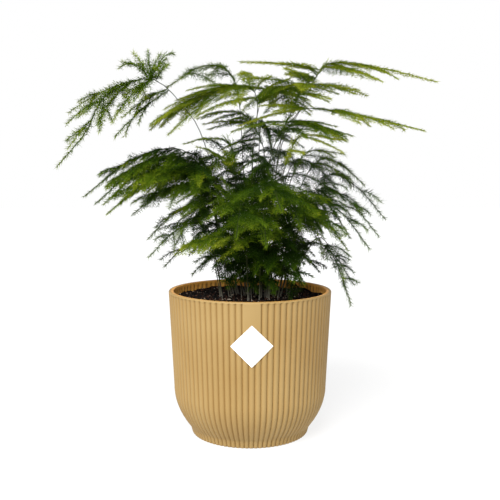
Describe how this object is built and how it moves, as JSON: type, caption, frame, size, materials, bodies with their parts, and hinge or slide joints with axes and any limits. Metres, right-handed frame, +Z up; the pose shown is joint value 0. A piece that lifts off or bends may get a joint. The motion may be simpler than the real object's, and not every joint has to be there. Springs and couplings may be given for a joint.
{
  "type": "potted asparagus fern",
  "caption": "Potted asparagus fern: feathery arching sprays on thin wiry stems in a ribbed round pot with a blank square label.",
  "frame": {"origin": "middle of the pot's flat base, on the surface that it stands on", "axes": "+Z up, -Y towards the viewer of the label, +X to that viewer's right"},
  "size_m": [0.317, 0.2266, 0.326],
  "materials": {
    "pot_plastic": "matte ochre plastic, vertically ribbed",
    "label_film": "plain white satin sticker",
    "potting_soil": "dark crumbly peat and bark compost",
    "foliage": "fine green needles, satin",
    "young_foliage": "fine yellow-green young needles, satin"
  },
  "bodies": {
    "root": {"label": "label_film", "pot": "pot_plastic", "soil": "potting_soil", "stem_back_far_left": "foliage", "stem_back_left": "foliage", "stem_back_low_left": "foliage", "stem_back_low_right": "foliage", "stem_back_mid": "foliage", "stem_back_mid_left": "foliage", "stem_back_mid_right": "foliage", "stem_back_right": "foliage", "stem_back_upper": "foliage", "stem_centre_left": "foliage", "stem_centre_tall": "foliage", "stem_front_left": "young_foliage", "stem_front_low": "foliage", "stem_front_middle": "young_foliage", "stem_front_right": "foliage", "stem_front_upper": "young_foliage", "stem_left_arch": "foliage", "stem_left_broad": "foliage", "stem_left_mid_back": "foliage", "stem_left_mid_front": "foliage", "stem_left_mid_lower": "foliage", "stem_left_mid_middle": "foliage", "stem_left_mid_upper": "foliage", "stem_left_small": "young_foliage", "stem_left_tall": "foliage", "stem_low_left_bright": "young_foliage", "stem_low_left_lower": "foliage", "stem_low_left_middle": "foliage", "stem_low_left_thin": "foliage", "stem_low_left_upper": "foliage", "stem_low_right_inner": "foliage", "stem_low_right_middle": "foliage", "stem_low_right_outer": "foliage", "stem_right_fourth": "foliage", "stem_right_mid_back": "foliage", "stem_right_mid_front": "foliage", "stem_right_mid_lower": "foliage", "stem_right_mid_middle": "foliage", "stem_right_mid_near": "foliage", "stem_right_mid_upper": "foliage", "stem_right_second": "young_foliage", "stem_right_tall": "foliage", "stem_right_thin": "foliage", "stem_right_third": "foliage", "stem_right_young": "young_foliage"}
  },
  "joints": []
}
